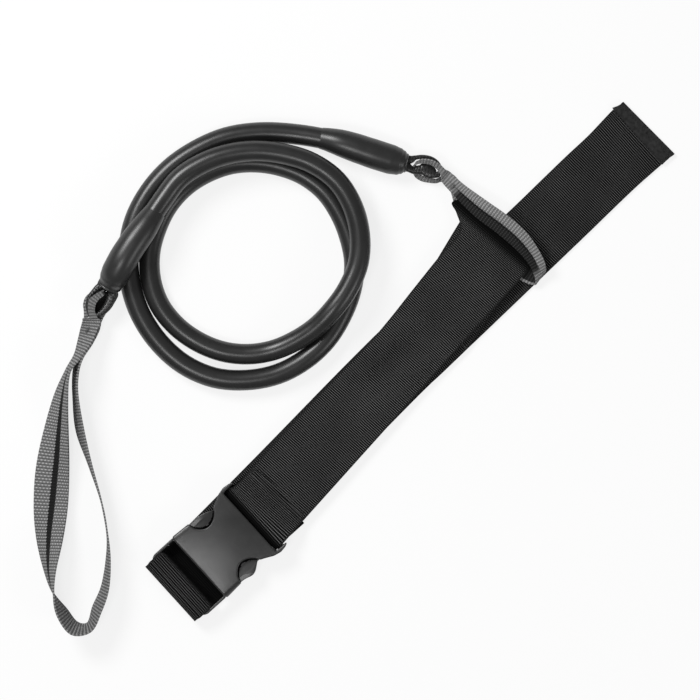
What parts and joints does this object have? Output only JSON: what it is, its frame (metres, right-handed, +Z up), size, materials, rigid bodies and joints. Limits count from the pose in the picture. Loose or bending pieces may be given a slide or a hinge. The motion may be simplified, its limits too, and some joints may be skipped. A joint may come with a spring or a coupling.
{
  "type": "stationary swim tether",
  "caption": "Stationary swim tether: an elastic tube in a loose coil joins a webbing anchor loop to a waist belt with a side release buckle.",
  "frame": {"origin": "on the surface that the tether lies on, below the middle of its outline", "axes": "+X runs to the right of the picture, +Y to its top, and +Z up towards the camera"},
  "size_m": [0.4362, 0.3625, 0.035],
  "materials": {
    "tube_rubber": "satin latex tube",
    "sleeve_rubber": "smooth moulded sleeve",
    "plug_plastic": "matte",
    "cord": "braided cord",
    "grey_webbing": "ribbed webbing with a dark centre stripe",
    "grey_thread": "bar of thread",
    "black_webbing": "fine cross ribs",
    "black_thread": "thread",
    "acetal": "moulded, matte"
  },
  "bodies": {
    "tether": {"elastic_tube": "tube_rubber", "sleeve_left": "sleeve_rubber", "sleeve_right": "sleeve_rubber", "plug_left": "plug_plastic", "plug_right": "plug_plastic", "cord_loop_left": "cord", "cord_loop_right": "cord"},
    "anchor_loop": {"anchor_webbing": "grey_webbing", "anchor_stitching": "grey_thread"},
    "keeper": {"keeper_webbing": "grey_webbing", "keeper_stitching": "grey_thread"},
    "belt": {"belt_waist": "black_webbing", "belt_stitching": "black_thread", "buckle_socket": "acetal"},
    "male": {"buckle_plug": "acetal", "belt_wrap": "black_webbing"},
    "latch_arm_left": {"latch_arm_left": "acetal"},
    "latch_arm_right": {"latch_arm_right": "acetal"},
    "tail": {"belt_tail": "black_webbing", "tail_stitching": "black_thread"}
  },
  "joints": [
    {"name": "anchor_swing", "type": "hinge", "parent": "tether", "child": "anchor_loop", "pos_m": [-0.16931, 0.05216, 0.013], "axis": [0, 0, 1], "range_deg": [-60, 0]},
    {"name": "keeper_swing", "type": "hinge", "parent": "tether", "child": "keeper", "pos_m": [0.04225, 0.13812, 0.009], "axis": [0, 0, 1], "range_deg": [0, 60]},
    {"name": "belt_through_keeper", "type": "slide", "parent": "keeper", "child": "belt", "axis": [0.6769, 0.7361, 0], "range_m": [0, 0.1]},
    {"name": "buckle_release", "type": "slide", "parent": "belt", "child": "male", "axis": [-0.7408, -0.6717, 0], "range_m": [0, 0.045]},
    {"name": "latch_squeeze_left", "type": "hinge", "parent": "male", "child": "latch_arm_left", "pos_m": [-0.11749, -0.11323, 0.0096], "axis": [0, 0, -1], "range_deg": [0, 7], "stiffness_Nm_per_rad": 2},
    {"name": "latch_squeeze_right", "type": "hinge", "parent": "male", "child": "latch_arm_right", "pos_m": [-0.08444, -0.14968, 0.0096], "axis": [0, 0, 1], "range_deg": [0, 7], "stiffness_Nm_per_rad": 2},
    {"name": "tail_adjust", "type": "slide", "parent": "male", "child": "tail", "axis": [0.7236, 0.6903, 0], "range_m": [0, 0.1]}
  ],
  "couplings": [
    {"joint": "latch_squeeze_right", "follows": "latch_squeeze_left", "ratio": 1}
  ]
}
